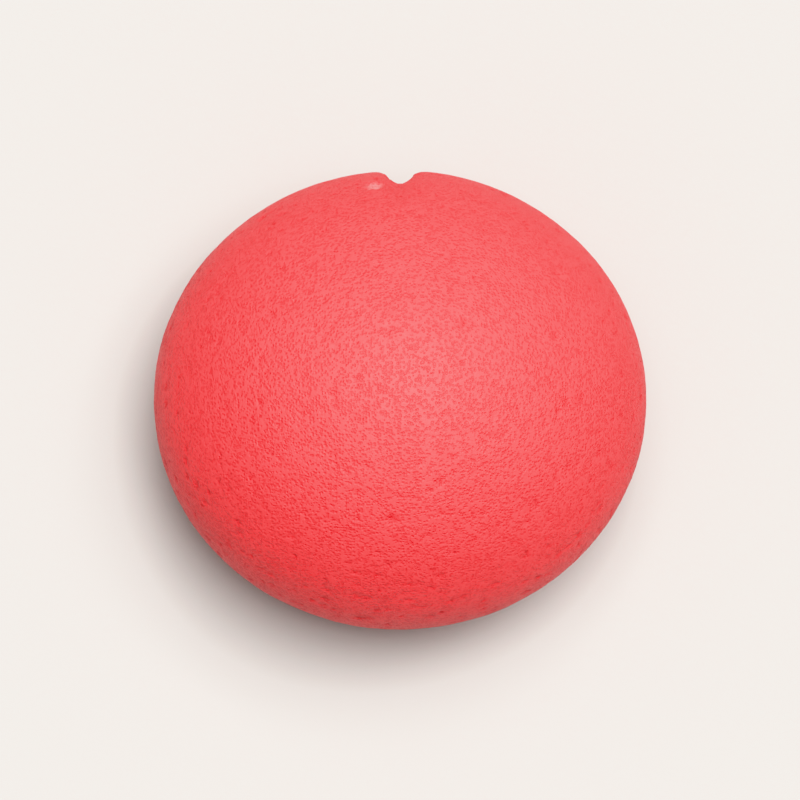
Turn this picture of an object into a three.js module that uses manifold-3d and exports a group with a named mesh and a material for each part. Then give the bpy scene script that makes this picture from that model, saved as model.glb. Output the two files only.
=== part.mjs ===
// A clown's red foam nose: one moulded ball of soft foam, cut flat at the back. A hollow in the back lets
// it be pushed on, and a slit from the hollow up through the crown lets the hollow spread.
//
// Millimetres. The nose lies on its flat back, as it does on a table: +Z is the front of the ball, +Y is
// up as it is worn, towards the slit, and the origin is the middle of the flat back.

import * as THREE from "three";
import { mergeVertices } from "three/addons/utils/BufferGeometryUtils.js";
import Module from "manifold-3d";

// Driving dimensions of the ball.
const NOSE_WIDTH = 51.5; // across, a 50 mm ball spread sideways by what its hollow holds
const NOSE_HEIGHT = 48; // from the bottom to the crown, as it is worn
const BACK_SETBACK = 20; // from the middle of the ball to its flat back
const RIM_ROUND = 2.5; // radius of the flat back's outer edge

// Driving dimensions of the hollow.
const POCKET_DEPTH = 25; // from the flat back to the end of the hollow
const POCKET_END_RADIUS = 9; // the round end
const POCKET_TAPER = THREE.MathUtils.degToRad(10); // the wall widens towards the mouth
const MOUTH_ROUND = 1.2; // radius of the mouth's edge

// Driving dimensions of the slit. Seen from above the crown it is a pointed arch, as a knife cut is when it
// is spread: two arcs that meet at its front end and run into straight sides.
const SLIT_WIDTH = 4.4; // between the straight sides
const SLIT_POINT = THREE.MathUtils.degToRad(15); // from the middle of the slit to each arc, at the front end
const SLIT_INNER_TIP = 21; // how far forward the slit reaches on the axis of the hollow
const NOTCH_DEPTH = 1.5; // from the ball's outline down to the slit's front end, which shows from the front

// Fineness of the facets.
const TURN_SEGMENTS = 64; // round the axis of the ball
const BALL_STEPS = 30; // from the rim of the ball to its front
const ROUND_STEPS = 4; // round each edge of the flat back
const POCKET_STEPS = 10; // round the end of the hollow
const ARCH_STEPS = 8; // along each arc of the slit
const WELD = 1e-4; // corners closer than this are one corner

const FOAM_RED = new THREE.MeshStandardMaterial({
  name: "red_foam",
  color: 0xf0484e,
  roughness: 0.9,
  metalness: 0,
});

const wasm = await Module();
wasm.setup();

// A closed three.js geometry as a solid that can be cut.
function toSolid(geometry) {
  const bare = geometry.index ? geometry.toNonIndexed() : geometry.clone();
  bare.deleteAttribute("normal");
  bare.deleteAttribute("uv");
  const merged = mergeVertices(bare, WELD);
  return new wasm.Manifold(
    new wasm.Mesh({
      numProp: 3,
      vertProperties: merged.attributes.position.array,
      triVerts: new Uint32Array(merged.index.array),
    }),
  );
}

// A cut solid as a three.js geometry, with flat facets.
function toGeometry(solid) {
  const { vertProperties, triVerts } = solid.getMesh();
  const indexed = new THREE.BufferGeometry()
    .setAttribute("position", new THREE.BufferAttribute(vertProperties, 3))
    .setIndex(new THREE.BufferAttribute(triVerts, 1));
  const faceted = indexed.toNonIndexed();
  faceted.computeVertexNormals();
  return faceted;
}

// Points along an arc of a circle in the section, from one angle to another, both ends included.
function arcPoints(centreX, centreY, radius, from, to, steps) {
  return new THREE.EllipseCurve(centreX, centreY, radius, radius, from, to, to < from).getPoints(steps);
}

// Half of the section through the hollow ball: x is the distance from the axis, y the height over the
// flat back. It runs from the end of the hollow on the axis out of the mouth, over the rim and along the
// ball to the axis again.
function hollowBallSection() {
  const quarterTurn = Math.PI / 2;
  const ballRadius = NOSE_WIDTH / 2;

  // The wall of the hollow touches its round end and the rounding of the mouth.
  const endY = POCKET_DEPTH - POCKET_END_RADIUS;
  const mouthX =
    (POCKET_END_RADIUS + MOUTH_ROUND + (endY - MOUTH_ROUND) * Math.sin(POCKET_TAPER)) /
    Math.cos(POCKET_TAPER);

  // The rounding of the rim touches the plane of the flat back, and the ball from inside.
  const rimX = Math.sqrt((ballRadius - RIM_ROUND) ** 2 - (BACK_SETBACK - RIM_ROUND) ** 2);
  const rimAngle = Math.atan2(RIM_ROUND - BACK_SETBACK, rimX);

  return [
    ...arcPoints(0, endY, POCKET_END_RADIUS, quarterTurn, POCKET_TAPER, POCKET_STEPS),
    ...arcPoints(mouthX, MOUTH_ROUND, MOUTH_ROUND, POCKET_TAPER + Math.PI, 3 * quarterTurn, ROUND_STEPS),
    ...arcPoints(rimX, RIM_ROUND, RIM_ROUND, -quarterTurn, rimAngle, ROUND_STEPS),
    ...arcPoints(0, BACK_SETBACK, ballRadius, rimAngle, quarterTurn, BALL_STEPS).slice(1),
  ];
}

// The ball with its hollow, turned round its axis and then pressed to its height.
function hollowBall() {
  return new THREE.LatheGeometry(hollowBallSection(), TURN_SEGMENTS)
    .rotateX(Math.PI / 2)
    .scale(1, NOSE_HEIGHT / NOSE_WIDTH, 1);
}

// The space inside the slit: an upright arch that leans forward as it rises from the end of the hollow to
// the notch in the crown.
function slitArch() {
  const ballRadius = NOSE_WIDTH / 2;
  const crown = NOSE_HEIGHT / 2;
  const notchY = crown - NOTCH_DEPTH;
  const notchReach = ballRadius * Math.sqrt(1 - (notchY / crown) ** 2);
  const lean = Math.atan2(BACK_SETBACK + notchReach - SLIT_INNER_TIP, notchY);

  // Each arc touches its straight side, and the two meet at the front end, which is the origin here.
  const halfWidth = SLIT_WIDTH / 2;
  const archRadius = halfWidth / (1 - Math.cos(SLIT_POINT));
  const archLength = archRadius * Math.sin(SLIT_POINT);
  const centreX = archRadius - halfWidth;
  const length = POCKET_DEPTH + crown;

  const arch = new THREE.Shape([
    new THREE.Vector2(-halfWidth, -length),
    new THREE.Vector2(halfWidth, -length),
    ...arcPoints(-centreX, -archLength, archRadius, 0, SLIT_POINT, ARCH_STEPS),
    ...arcPoints(centreX, -archLength, archRadius, Math.PI - SLIT_POINT, Math.PI, ARCH_STEPS).slice(1),
  ]);
  return new THREE.ExtrudeGeometry(arch, { depth: NOSE_HEIGHT, bevelEnabled: false })
    .rotateX(Math.PI / 2)
    .translate(0, NOSE_HEIGHT, 0)
    .rotateX(lean)
    .translate(0, 0, SLIT_INNER_TIP);
}

function foamNose() {
  const solid = toSolid(hollowBall()).subtract(toSolid(slitArch()));
  const nose = new THREE.Mesh(toGeometry(solid), FOAM_RED);
  nose.name = "foam_nose";
  return nose;
}

const clownNose = new THREE.Group();
clownNose.name = "clown_nose";
clownNose.add(foamNose());

export default clownNose;
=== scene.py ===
# %% [markdown]
# # A red foam clown nose
#
# The real thing is one moulded ball of soft polyurethane foam, about 5 cm across. Its back is flat, a hollow
# in the back lets it be pushed on, and a slit up through the crown lets the hollow spread.
#
# It is modelled as by hand, from a sphere and two cylinders, with edit-mode tools and booleans. Then it
# becomes foam: one even mesh with soft edges, with pits, a crease and a nick that are real dents, and a matt
# red material for the finest cells. The part's plain solid comes first. It gives the ball's size and place,
# so the foam lies just where the solid does.

# %% Load the solid and read its sizes
import math

import bmesh
import bpy
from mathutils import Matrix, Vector


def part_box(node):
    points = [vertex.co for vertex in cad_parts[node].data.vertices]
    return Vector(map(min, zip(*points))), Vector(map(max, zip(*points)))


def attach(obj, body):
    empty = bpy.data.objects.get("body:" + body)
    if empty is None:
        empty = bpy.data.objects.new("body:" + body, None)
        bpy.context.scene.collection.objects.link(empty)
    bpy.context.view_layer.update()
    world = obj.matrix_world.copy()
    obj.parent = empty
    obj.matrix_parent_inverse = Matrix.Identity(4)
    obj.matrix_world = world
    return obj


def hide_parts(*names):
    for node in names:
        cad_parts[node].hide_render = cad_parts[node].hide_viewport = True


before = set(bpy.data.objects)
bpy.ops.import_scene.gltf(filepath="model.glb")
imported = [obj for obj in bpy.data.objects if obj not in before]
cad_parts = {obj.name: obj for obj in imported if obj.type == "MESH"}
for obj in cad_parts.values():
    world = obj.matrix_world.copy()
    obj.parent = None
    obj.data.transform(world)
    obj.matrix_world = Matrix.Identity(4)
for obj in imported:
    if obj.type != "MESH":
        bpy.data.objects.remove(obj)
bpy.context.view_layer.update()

MM = 0.001  # Blender works in metres

low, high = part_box("foam_nose")
ball_radius = high.x
squeeze = -low.y / high.x  # the ball's height over its width
middle = high.z - ball_radius  # from the flat back up to the middle of the ball

print(f"ball {2 * ball_radius / MM:.1f} mm wide, {squeeze:.3f} as high, middle at {middle / MM:.1f} mm")

# %% [markdown]
# ## The section
#
# Seen cut in half, the nose is a round ball, a rounded rim, a flat ring to lie on, a rounded mouth, and a
# hollow that narrows to a round end. All of it is arcs joined by straight lines. So a few real sizes give
# every ring of the back, and one function puts places on an arc.

# %% Work out the rings of the back
RIM_ROUND = 2.5 * MM  # radius of the flat back's outer edge
MOUTH_ROUND = 1.2 * MM  # radius of the mouth's edge
POCKET_DEPTH = 25 * MM  # from the flat back to the end of the hollow
POCKET_END_RADIUS = 9 * MM  # the round end of the hollow
POCKET_TAPER = math.radians(10)  # the hollow widens towards its mouth
ROUND_STEPS = 6  # round each edge of the flat back
POCKET_STEPS = 12  # round the end of the hollow
QUARTER_TURN = math.pi / 2


def arc(centre, radius, start, end, steps):
    """Places on an arc of the section, each as (distance from the axis, height over the flat back)."""
    across, height = centre
    angles = [start + (end - start) * step / steps for step in range(steps + 1)]
    return [(across + radius * math.cos(a), height + radius * math.sin(a)) for a in angles]


rim_across = math.sqrt((ball_radius - RIM_ROUND) ** 2 - (middle - RIM_ROUND) ** 2)
rim_angle = math.atan2(RIM_ROUND - middle, rim_across)
rim = arc((rim_across, RIM_ROUND), RIM_ROUND, rim_angle, -QUARTER_TURN, ROUND_STEPS)

end_height = POCKET_DEPTH - POCKET_END_RADIUS
wall_lean = (end_height - MOUTH_ROUND) * math.sin(POCKET_TAPER)
mouth_across = (POCKET_END_RADIUS + MOUTH_ROUND + wall_lean) / math.cos(POCKET_TAPER)
mouth = arc((mouth_across, MOUTH_ROUND), MOUTH_ROUND, -QUARTER_TURN, POCKET_TAPER - math.pi, ROUND_STEPS)

pocket_end = arc((0, end_height), POCKET_END_RADIUS, POCKET_TAPER, QUARTER_TURN, POCKET_STEPS)

print(f"flat ring from {mouth_across / MM:.1f} to {rim_across / MM:.1f} mm from the axis")

# %% [markdown]
# ## The ball
#
# The ball is a little wider than it is high. A UV sphere is the nearest primitive: its rings lie across
# the axis from front to back, as the flat back does. It is resized in edit mode, which keeps the object
# itself unscaled, and a bisect takes the back off where the rounding of the rim begins and fills the cut.

# %% Add a sphere, press it to its height and cut its back off
BALL_SEGMENTS = 128
BALL_RINGS = 64

bpy.ops.object.select_all(action="DESELECT")
bpy.ops.mesh.primitive_uv_sphere_add(
    segments=BALL_SEGMENTS, ring_count=BALL_RINGS, radius=ball_radius, location=(0, 0, middle)
)
foam_ball = bpy.context.object
foam_ball.name = "foam_ball"
bpy.ops.object.transform_apply(location=True, rotation=False, scale=False)

bpy.ops.object.mode_set(mode="EDIT")
bpy.ops.mesh.select_all(action="SELECT")
bpy.ops.transform.resize(value=(1, squeeze, 1), center_override=(0, 0, 0))
cut_across, cut_height = rim[0]
bpy.ops.mesh.bisect(plane_co=(0, 0, cut_height), plane_no=(0, 0, 1), use_fill=True, clear_inner=True)

print(f"back cut off {cut_height / MM:.2f} mm over the flat back")

# %% [markdown]
# ## The rim and the hollow
#
# A hollow could be cut with a second shape, but the cut has left one big face, and a face can be pushed
# in. It is extruded from ring to ring: moved to the ring's height, then scaled to the ring's size. That
# rounds the rim, lays the flat ring, turns in at the mouth and goes down the hollow to its round end,
# where the last ring shrinks to a point.

# %% Push the back face in, ring by ring
def select_faces(piece, wanted):
    """In edit mode, selects the faces that pass the test and no others."""
    bpy.ops.mesh.select_mode(type="FACE")
    bpy.ops.mesh.select_all(action="DESELECT")
    mesh = bmesh.from_edit_mesh(piece.data)
    for face in mesh.faces:
        face.select_set(wanted(face))
    bmesh.update_edit_mesh(piece.data)


select_faces(foam_ball, lambda face: len(face.verts) == BALL_SEGMENTS)
across, height = cut_across, cut_height
for next_across, next_height in rim[1:] + mouth + pocket_end:
    size = next_across / across
    bpy.ops.mesh.extrude_region_move(TRANSFORM_OT_translate={"value": (0, 0, next_height - height)})
    bpy.ops.transform.resize(value=(size, size, 1), center_override=(0, 0, 0))
    across, height = next_across, next_height
bpy.ops.mesh.merge(type="CENTER")
bpy.ops.object.mode_set(mode="OBJECT")

print(f"ball with its hollow: {len(foam_ball.data.polygons)} faces")

# %% [markdown]
# ## The slit
#
# The slit was cut with a knife, and it is spread a little. Seen from above the crown it is a pointed arch:
# two arcs meet at its front end and run into straight sides. It leans forward as it rises, so that its
# front end shows as a small notch in the crown. The knife tool needs a window, so the space inside the slit
# is modelled instead and taken away with a boolean. Two cylinders that overlap share just such a pointed
# shape: another boolean keeps it, a bisect halves it, and the cut face is drawn out to the back.

# %% Work out the arch
SLIT_WIDTH = 4.4 * MM  # between the straight sides
SLIT_POINT = math.radians(15)  # from the middle of the slit to each arc, at the front end
SLIT_INNER_TIP = 21 * MM  # how far forward the slit reaches on the axis of the hollow
SLIT_DROP = 0.95 * MM  # from the ball's outline down to the slit's front end

crown = ball_radius * squeeze
tip_height = crown - SLIT_DROP
tip_reach = ball_radius * math.sqrt(1 - (tip_height / crown) ** 2)
slit_lean = math.atan2(middle + tip_reach - SLIT_INNER_TIP, tip_height)

half_width = SLIT_WIDTH / 2
arch_radius = half_width / (1 - math.cos(SLIT_POINT))
arch_length = arch_radius * math.sin(SLIT_POINT)

print(f"slit leans {math.degrees(slit_lean):.1f} degrees, its arch is {arch_length / MM:.1f} mm long")

# %% Keep what two cylinders share
ARCH_SIDES = 256


def apply_modifier(piece, name, kind, **settings):
    """Adds a modifier to a piece, sets it and applies it."""
    bpy.ops.object.select_all(action="DESELECT")
    piece.select_set(True)
    bpy.context.view_layer.objects.active = piece
    modifier = piece.modifiers.new(name, kind)
    for setting, value in settings.items():
        setattr(modifier, setting, value)
    bpy.ops.object.modifier_apply(modifier=modifier.name)


def arch_side(to_side):
    """A cylinder along Y whose edge is one side of the arch: 1 stands to the right, -1 to the left."""
    bpy.ops.object.select_all(action="DESELECT")
    bpy.ops.mesh.primitive_cylinder_add(
        vertices=ARCH_SIDES,
        radius=arch_radius,
        depth=2 * crown,
        location=(to_side * (arch_radius - half_width), crown, -arch_length),
        rotation=(QUARTER_TURN, 0, 0),
    )
    bpy.ops.object.transform_apply(location=True, rotation=True, scale=False)
    return bpy.context.object


slit = arch_side(1)
slit.name = "slit"
other_side = arch_side(-1)
apply_modifier(slit, "shared", "BOOLEAN", operation="INTERSECT", solver="EXACT", object=other_side)
bpy.data.objects.remove(other_side)

print(f"two cylinders share a shape {slit.dimensions.x / MM:.1f} mm wide")

# %% Draw it out to the back, lean it and cut it out of the ball
LOOKS_BACK = -0.5  # a face whose normal has a lower Z than this looks to the back

bpy.ops.object.mode_set(mode="EDIT")
bpy.ops.mesh.select_all(action="SELECT")
bpy.ops.mesh.bisect(plane_co=(0, 0, -arch_length), plane_no=(0, 0, 1), use_fill=True, clear_inner=True)
select_faces(slit, lambda face: face.normal.z < LOOKS_BACK)
bpy.ops.mesh.extrude_region_move(TRANSFORM_OT_translate={"value": (0, 0, -ball_radius - crown)})
bpy.ops.mesh.select_all(action="SELECT")
bpy.ops.transform.rotate(value=-slit_lean, orient_axis="X", center_override=(0, 0, 0))
bpy.ops.transform.translate(value=(0, 0, SLIT_INNER_TIP))
bpy.ops.object.mode_set(mode="OBJECT")

apply_modifier(foam_ball, "slit", "BOOLEAN", operation="DIFFERENCE", solver="EXACT", object=slit)
bpy.data.objects.remove(slit)

print(f"ball with its slit: {len(foam_ball.data.polygons)} faces")

# %% [markdown]
# ## From a hard shape to foam
#
# Foam has no sharp edge, and its surface is uneven. Bevels on the slit's long curved lips would be tricky,
# so a voxel remesh first makes one even mesh of small squares. The smooth modifier then rounds every lip
# alike, as soft foam does, and hardly changes the ball.

# %% Remesh and soften the edges
VOXEL = 0.375 * MM  # just coarse enough to stay under 200,000 triangles
SOFTENING = {"factor": 0.5, "iterations": 24}  # rounds the lips by about a millimetre

apply_modifier(foam_ball, "even_mesh", "REMESH", mode="VOXEL", voxel_size=VOXEL)
apply_modifier(foam_ball, "soft_edges", "SMOOTH", **SOFTENING)

print(f"even mesh: {len(foam_ball.data.polygons)} faces")

# %% [markdown]
# ## Bubbles
#
# Foam is a froth that has set. Bubbles that broke at its surface are left as pits: countless fine ones, and
# here and there a large one. The larger ones are real dents in the mesh. A sculpting brush could make them,
# but a pattern of nodes is even all over and serves twice: Geometry Nodes push the mesh in by it, and the
# material paints shade into the same pits. For that the mesh keeps, as an attribute, where each point was
# before it was pushed in. Every dent goes inwards, so the nose keeps its size.

# %% Start a tree of nodes that keeps each point's bare place
BARE_PLACE = "bare_place"


def add_node(tree, kind, inputs=None, output=None, **settings):
    """Adds a node, sets its properties and fills its inputs with values or with other nodes' outputs.

    The named output comes back, or else the first one in use, or else the node.
    """
    node = tree.nodes.new(kind)
    for name, value in settings.items():
        setattr(node, name, value)
    sockets = {socket.name: socket for socket in node.inputs}
    sockets.update({socket.identifier: socket for socket in node.inputs})
    for name, value in (inputs or {}).items():
        if isinstance(value, bpy.types.NodeSocket):
            tree.links.new(value, sockets[name])
        else:
            sockets[name].default_value = value
    in_use = [socket for socket in node.outputs if socket.enabled and output in (None, socket.name)]
    return in_use[0] if in_use else node


dents = bpy.data.node_groups.new("foam_dents", "GeometryNodeTree")
dents.interface.new_socket("Geometry", in_out="INPUT", socket_type="NodeSocketGeometry")
dents.interface.new_socket("Geometry", in_out="OUTPUT", socket_type="NodeSocketGeometry")
bare_mesh = add_node(dents, "NodeGroupInput")
position = add_node(dents, "GeometryNodeInputPosition")
kept = add_node(
    dents,
    "GeometryNodeStoreNamedAttribute",
    {"Geometry": bare_mesh, "Name": BARE_PLACE, "Value": position},
    data_type="FLOAT_VECTOR",
    domain="POINT",
)

print(f"{dents.name} keeps the attribute {BARE_PLACE}")

# %% Lay out the bubbles
COARSE_BUBBLES = {"spacing": 1.1 * MM, "radius": 0.7 * MM, "open_share": 0.6}
COARSE_DEPTH = 0.14 * MM
LARGE_BUBBLES = {"spacing": 3.4 * MM, "radius": 0.9 * MM, "open_share": 0.4}
LARGE_DEPTH = 0.3 * MM
PIT_FLOOR = 0.3  # the floor of a pit, over the pit's whole width
UNEVEN = 0.5  # how far a pattern is pushed out of true, over its spacing
SHUT = 0.001  # the size of a bubble that has stayed shut, over the spacing


def uneven(tree, place, spacing):
    """The place pushed out of true, so that a pattern of that spacing is less regular."""
    push = add_node(tree, "ShaderNodeTexNoise", {"Vector": place, "Scale": 1 / spacing}, output="Color")
    return add_node(
        tree,
        "ShaderNodeVectorMath",
        {"Vector": push, "Vector_001": [UNEVEN * spacing] * 3, "Vector_002": place},
        operation="MULTIPLY_ADD",
    )


def pits(tree, place, spacing, radius, open_share):
    """Gives 1 on the floor of each bubble that has broken open, falling to 0 at its edge.

    Chance says how far each one is open, the widest to the radius given. Those past the open share stay
    shut, so a share of 1 or more leaves none shut.
    """
    distance = add_node(
        tree,
        "ShaderNodeTexVoronoi",
        {"Vector": uneven(tree, place, spacing), "Scale": 1 / spacing},
        output="Distance",
    )
    chance = add_node(tree, "ShaderNodeSeparateXYZ", {"Vector": distance.node.outputs["Color"]}, output="X")
    widest = radius / spacing
    size = add_node(
        tree,
        "ShaderNodeMath",
        {"Value": chance, "Value_001": -widest / open_share, "Value_002": widest},
        operation="MULTIPLY_ADD",
    )
    edge = add_node(tree, "ShaderNodeMath", {"Value": size, "Value_001": SHUT}, operation="MAXIMUM")
    floor_edge = add_node(
        tree, "ShaderNodeMath", {"Value": edge, "Value_001": PIT_FLOOR}, operation="MULTIPLY"
    )
    return add_node(
        tree,
        "ShaderNodeMapRange",
        {"Value": distance, "From Min": edge, "From Max": floor_edge, "To Max": 1},
        interpolation_type="SMOOTHSTEP",
    )


patterns = [
    (pits(dents, position, **COARSE_BUBBLES), COARSE_DEPTH),
    (pits(dents, position, **LARGE_BUBBLES), LARGE_DEPTH),
]

print(f"bubbles every {COARSE_BUBBLES['spacing'] / MM:.1f} and {LARGE_BUBBLES['spacing'] / MM:.1f} mm")

# %% [markdown]
# ## The crease and the nick
#
# The slit's front end is drawn in as well. The cut ends there, and the skin of the ball is pulled down into
# a crease that runs on over the crown and fades. Seen from the front, it deepens the notch to a V with soft
# shoulders. An exponential has that shape: it is sharp in the middle and falls off ever more slowly to both
# sides. Beside the notch the foam has a small ragged nick, which the material colours paler. Noise over a
# round spot frays its edge.

# %% Lay out the crease
CREASE_DEPTH = 0.6 * MM
CREASE_WIDTH = 1.3 * MM  # from the middle to where about a third of the depth is left
CREASE_LENGTH = 9 * MM  # from the slit's front end to where the crease has faded


def near(tree, place, centre, reach):
    """Gives 1 at the centre, falling to 0 where the reach along each axis ends."""
    apart = add_node(
        tree, "ShaderNodeVectorMath", {"Vector": place, "Vector_001": centre}, operation="SUBTRACT"
    )
    reaches = add_node(
        tree, "ShaderNodeVectorMath", {"Vector": apart, "Vector_001": reach}, operation="DIVIDE"
    )
    distance = add_node(tree, "ShaderNodeVectorMath", {"Vector": reaches}, output="Value", operation="LENGTH")
    return add_node(
        tree,
        "ShaderNodeMapRange",
        {"Value": distance, "From Min": 1, "From Max": 0, "To Max": 1},
        interpolation_type="SMOOTHSTEP",
    )


def crease(tree, place):
    """Gives 1 at the slit's front end, falling to 0 to both sides and along the crown."""
    across = add_node(tree, "ShaderNodeSeparateXYZ", {"Vector": place}, output="X")
    aside = add_node(tree, "ShaderNodeMath", {"Value": across}, operation="ABSOLUTE")
    widths = add_node(
        tree, "ShaderNodeMath", {"Value": aside, "Value_001": -1 / CREASE_WIDTH}, operation="MULTIPLY"
    )
    side = add_node(tree, "ShaderNodeMath", {"Value": widths}, operation="EXPONENT")
    along = near(tree, place, (0, tip_height, middle + tip_reach), [CREASE_LENGTH] * 3)
    return add_node(tree, "ShaderNodeMath", {"Value": side, "Value_001": along}, operation="MULTIPLY")


patterns.append((crease(dents, position), CREASE_DEPTH))

print(f"crease {CREASE_LENGTH / MM:.0f} mm long, notch about {(SLIT_DROP + CREASE_DEPTH) / MM:.1f} mm deep")

# %% Lay out the nick
NICK_DEPTH = 0.3 * MM
NICK_ASIDE = 2.7 * MM  # from the notch to the left, seen from the front
NICK_DROP = 1.6 * MM  # from the crown down
NICK_REACH = (1.7 * MM, 1.2 * MM, 2.6 * MM)  # from its middle along each axis, past its frayed edge
NICK_RAGS = 0.45 * MM  # the size of the rags along its edge
RAGGED_FROM = 0.1  # where the spot times the noise is less than this, the foam is whole
RAGGED_TO = 0.5  # where it is more than this, the foam is torn


def nick(tree, place):
    """Gives 1 in the middle of the nick, falling to 0 at its ragged edge."""
    height = crown - NICK_DROP
    reach = ball_radius * math.sqrt(1 - (height / crown) ** 2 - (NICK_ASIDE / ball_radius) ** 2)
    spot = near(tree, place, (-NICK_ASIDE, height, middle + reach), NICK_REACH)
    rags = add_node(tree, "ShaderNodeTexNoise", {"Vector": place, "Scale": 1 / NICK_RAGS}, output="Fac")
    ragged = add_node(tree, "ShaderNodeMath", {"Value": spot, "Value_001": rags}, operation="MULTIPLY")
    return add_node(
        tree,
        "ShaderNodeMapRange",
        {"Value": ragged, "From Min": RAGGED_FROM, "From Max": RAGGED_TO, "To Max": 1},
        interpolation_type="SMOOTHSTEP",
    )


patterns.append((nick(dents, position), NICK_DEPTH))

print(f"nick {NICK_ASIDE / MM:.1f} mm from the notch and {NICK_DROP / MM:.1f} mm under the crown")

# %% [markdown]
# ## Lumps and grain
#
# A foam ball is never quite round, and its skin is never quite smooth. Two noises give it slow lumps and a
# fine grain. They join the other patterns, each with its own depth, and one sum of them all pushes the mesh
# in along its normals.

# %% Add lumps and grain, and push it all in
LUMP_SIZE = 8 * MM
LUMP_DEPTH = 0.2 * MM
GRAIN_SIZE = 1.1 * MM
GRAIN_DEPTH = 0.1 * MM

for size, depth in ((LUMP_SIZE, LUMP_DEPTH), (GRAIN_SIZE, GRAIN_DEPTH)):
    noise = add_node(dents, "ShaderNodeTexNoise", {"Vector": position, "Scale": 1 / size}, output="Fac")
    patterns.append((noise, depth))
total = 0.0
for pattern, depth in patterns:
    total = add_node(
        dents,
        "ShaderNodeMath",
        {"Value": pattern, "Value_001": -depth, "Value_002": total},
        operation="MULTIPLY_ADD",
    )
normal = add_node(dents, "GeometryNodeInputNormal", output="Normal")
offset = add_node(dents, "ShaderNodeVectorMath", {"Vector": normal, "Scale": total}, operation="SCALE")
dented = add_node(dents, "GeometryNodeSetPosition", {"Geometry": kept, "Offset": offset})
add_node(dents, "NodeGroupOutput", {"Geometry": dented})

apply_modifier(foam_ball, "dents", "NODES", node_group=dents)
bpy.ops.object.shade_smooth()

foam_ball.data.calc_loop_triangles()
print(f"foam: {len(foam_ball.data.loop_triangles)} triangles")

# %% [markdown]
# ## The material
#
# The foam is open-cell polyurethane, dyed through and left bare. Its cell walls scatter light in all
# directions, so it is matt, with one broad soft shine, and it glows a little where it is thin. Its cells
# are about 0.3 mm across: each is a fine pit between gritty walls. They are too fine for the mesh, so they
# are bump, and the shade on each pit's floor is painted into the colour as a darker, redder red. The large
# bubbles and the crease get painted shade too, over their real dents, and the nick is coloured paler.

# %% Choose the reds
FOAM_RED = "#ee464a"
DEEP_RED = "#e63a3e"  # in patches
# painted shade: the darker, redder red that stands for the shade in pits and in the crease
PAINTED_SHADE_RED = "#b3141d"  # in pits and in the crease
# a paler pink for the middle of the nick
PALE_SPOT_PINK = "#f7a3a3"  # in the nick


def linear(hex_colour):
    """An sRGB hex colour as the linear colour that Blender's sockets take."""
    channels = [int(hex_colour[start : start + 2], 16) / 255 for start in (1, 3, 5)]
    return [c / 12.92 if c <= 0.04045 else ((c + 0.055) / 1.055) ** 2.4 for c in channels] + [1]


print("foam red in linear light:", [round(channel, 3) for channel in linear(FOAM_RED)])

# %% Lay the reds over each other
MOTTLE_SIZE = 2.2 * MM  # of the patches where the red is deeper
MOTTLE_DETAIL = 3  # how many finer noises break up the patches
# how far the colour goes to the pale pink, in the middle of the nick
PALE_SPOT_SHADE = 0.7  # how far the colour goes to that of torn foam, in the middle of the nick
# painted shade: how far the colour darkens towards that red, on the floor of a fine cell
FINE_PAINTED_SHADE = 0.33  # how far the colour goes to that of a pit, on the floor of a fine cell
# painted shade in the coarse and the large bubbles, over their real dents
COARSE_PAINTED_SHADE = 0.15
LARGE_PAINTED_SHADE = 0.3
# painted shade along the crease, over its real dent
CREASE_PAINTED_SHADE = 0.3


def foam_colour(tree, place, cells):
    """The colour of the foam: patchy red, paler in the nick, with painted shade in its cells, pits and
    crease.
    """
    mottle = add_node(
        tree,
        "ShaderNodeTexNoise",
        {"Vector": place, "Scale": 1 / MOTTLE_SIZE, "Detail": MOTTLE_DETAIL},
        output="Fac",
    )
    colour = add_node(
        tree,
        "ShaderNodeMix",
        {"Factor_Float": mottle, "A_Color": linear(DEEP_RED), "B_Color": linear(FOAM_RED)},
        data_type="RGBA",
    )
    shades = (
        (nick(tree, place), PALE_SPOT_SHADE, PALE_SPOT_PINK),
        # painted shade: the cells, the bubbles and the crease are darkened towards the painted shade red
        (cells, FINE_PAINTED_SHADE, PAINTED_SHADE_RED),
        (pits(tree, place, **COARSE_BUBBLES), COARSE_PAINTED_SHADE, PAINTED_SHADE_RED),
        (pits(tree, place, **LARGE_BUBBLES), LARGE_PAINTED_SHADE, PAINTED_SHADE_RED),
        (crease(tree, place), CREASE_PAINTED_SHADE, PAINTED_SHADE_RED),
    )
    for pattern, shade, other_colour in shades:
        share = add_node(tree, "ShaderNodeMath", {"Value": pattern, "Value_001": shade}, operation="MULTIPLY")
        colour = add_node(
            tree,
            "ShaderNodeMix",
            {"Factor_Float": share, "A_Color": colour, "B_Color": linear(other_colour)},
            data_type="RGBA",
        )
    return colour


print(f"patches of deeper red about {MOTTLE_SIZE / MM:.1f} mm across")

# %% Roughen the walls between the cells
CELL_DEPTH = 0.07 * MM
GRIT_SIZE = 0.2 * MM  # the real walls' grit is finer: this is as fine as the picture shows
GRIT_DETAIL = 1  # how many finer noises break up the grit
GRIT_SHARE = 0.5  # the depth of the grit, over that of a cell


def foam_bump(tree, place, cells):
    """The finest relief of the foam: its cells, and the grit of the walls between them."""
    grit = add_node(
        tree,
        "ShaderNodeTexNoise",
        {"Vector": place, "Scale": 1 / GRIT_SIZE, "Detail": GRIT_DETAIL},
        output="Fac",
    )
    depth = add_node(
        tree,
        "ShaderNodeMath",
        {"Value": grit, "Value_001": GRIT_SHARE, "Value_002": cells},
        operation="MULTIPLY_ADD",
    )
    return add_node(
        tree, "ShaderNodeBump", {"Height": depth, "Distance": CELL_DEPTH, "Strength": 1}, invert=True
    )


print(f"cells {CELL_DEPTH / MM:.2f} mm deep, grit {GRIT_SIZE / MM:.1f} mm across")

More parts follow.
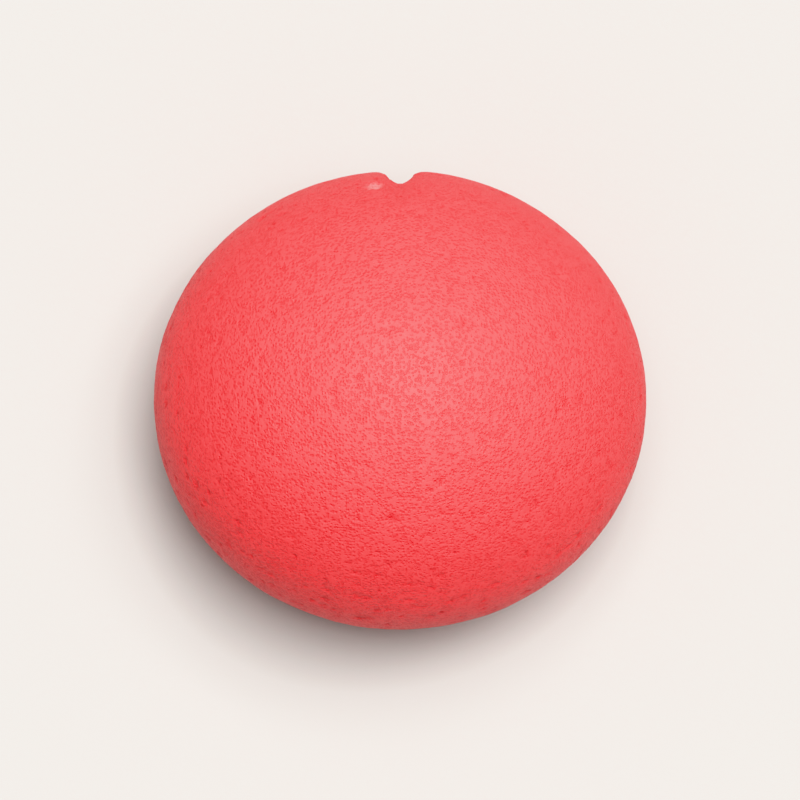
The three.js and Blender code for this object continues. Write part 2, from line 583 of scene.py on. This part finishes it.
# %% Make the foam
FINE_CELLS = {"spacing": 0.3 * MM, "radius": 0.27 * MM, "open_share": 1.5}
FOAM_ROUGHNESS = 0.55
FOAM_SHINE = 0.34  # a closed skin of the same plastic has 0.5, but open cells trap some of the shine
FOAM_GLOW = 0.2  # the share of the light that goes through the foam before it comes out
GLOW_REACH = (1.0, 0.35, 0.3)  # millimetres that red, green and blue light go through the foam


def red_foam():
    """Red open-cell polyurethane foam."""
    material = bpy.data.materials.new("red_open_cell_polyurethane_foam")
    material.use_nodes = True
    tree = material.node_tree
    tree.nodes.clear()
    place = add_node(tree, "ShaderNodeAttribute", output="Vector", attribute_name=BARE_PLACE)
    cells = pits(tree, place, **FINE_CELLS)
    shader = add_node(
        tree,
        "ShaderNodeBsdfPrincipled",
        {
            "Base Color": foam_colour(tree, place, cells),
            "Normal": foam_bump(tree, place, cells),
            "Roughness": FOAM_ROUGHNESS,
            "Specular IOR Level": FOAM_SHINE,
            "Subsurface Weight": FOAM_GLOW,
            "Subsurface Radius": GLOW_REACH,
            "Subsurface Scale": MM,
        },
    )
    add_node(tree, "ShaderNodeOutputMaterial", {"Surface": shader})
    return material


foam = red_foam()
foam_ball.data.materials.clear()
foam_ball.data.materials.append(foam)

print(f"{foam.name}: {len(foam.node_tree.nodes)} nodes")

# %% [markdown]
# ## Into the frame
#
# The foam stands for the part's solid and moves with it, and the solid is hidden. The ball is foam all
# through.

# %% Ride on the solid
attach(foam_ball, "root")
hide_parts("foam_nose")

print(f"{foam_ball.name} stands for foam_nose")

# %% [markdown]
# ## The floor
#
# The nose lies on its flat back, as it does on a table. A plain pale floor carries it and shows its shadow.
# The floor is stage, not part of the object, so a plane is enough.

# %% Lay the floor
FLOOR_SIZE = 6.0
FLOOR_PAINT = "#b5b2ae"  # looks paler under the lamp
FLOOR_ROUGHNESS = 0.9

bpy.ops.object.select_all(action="DESELECT")
bpy.ops.mesh.primitive_plane_add(size=FLOOR_SIZE)
floor = bpy.context.object
floor.name = "floor"
paint = bpy.data.materials.new("pale_floor_paint")
paint.use_nodes = True
paint_shader = paint.node_tree.nodes["Principled BSDF"]
paint_shader.inputs["Base Color"].default_value = linear(FLOOR_PAINT)
paint_shader.inputs["Roughness"].default_value = FLOOR_ROUGHNESS
floor.data.materials.append(paint)

print(f"floor {FLOOR_SIZE:.0f} m wide")

# %% [markdown]
# ## The light
#
# Matt foam has one broad soft shine, so one large soft box lights it. It hangs further away than the camera,
# a little to the top and to the right of the picture. A dim white world fills the shadows. The view
# transform is one that keeps a strong red almost as it is, where the usual one would fade it.

# %% Hang the lamp
LAMP_PLACE = (0.27, 0.47, 2.54)
LAMP_SIZE = 1.4
LAMP_POWER = 170
WORLD_WHITE = "#ffffff"
WORLD_STRENGTH = 0.16

bpy.ops.object.select_all(action="DESELECT")
bpy.ops.object.light_add(type="AREA", location=LAMP_PLACE)
lamp = bpy.context.object
lamp.name = "soft_box"
lamp.data.size = LAMP_SIZE
lamp.data.energy = LAMP_POWER
to_nose = Vector((0, 0, middle)) - Vector(LAMP_PLACE)
lamp.rotation_euler = to_nose.to_track_quat("-Z", "Y").to_euler()

world = bpy.data.worlds.new("studio")
world.use_nodes = True
background = world.node_tree.nodes["Background"]
background.inputs["Color"].default_value = linear(WORLD_WHITE)
background.inputs["Strength"].default_value = WORLD_STRENGTH
bpy.context.scene.world = world
bpy.context.scene.view_settings.view_transform = "Khronos PBR Neutral"

print(f"{lamp.name} {to_nose.length:.2f} m from the nose")

# %% [markdown]
# ## The camera
#
# The nose lies on its back, so the camera that sees its front looks straight down, which is how a camera
# points before it is turned. A long lens from 2 m away sees the ball out to its widest, which keeps the
# notch in the outline.

# %% Set the camera
CAMERA_DISTANCE = 2.0
FILL_OF_FRAME = 0.62  # the nose's width over the picture's

bpy.ops.object.camera_add(location=(0, 0, middle + CAMERA_DISTANCE))
camera = bpy.context.object
frame_width = 2 * ball_radius / FILL_OF_FRAME
camera.data.lens = camera.data.sensor_width * CAMERA_DISTANCE / frame_width
bpy.context.scene.camera = camera

print(f"lens {camera.data.lens:.0f} mm, picture {frame_width / MM:.0f} mm wide at the nose")
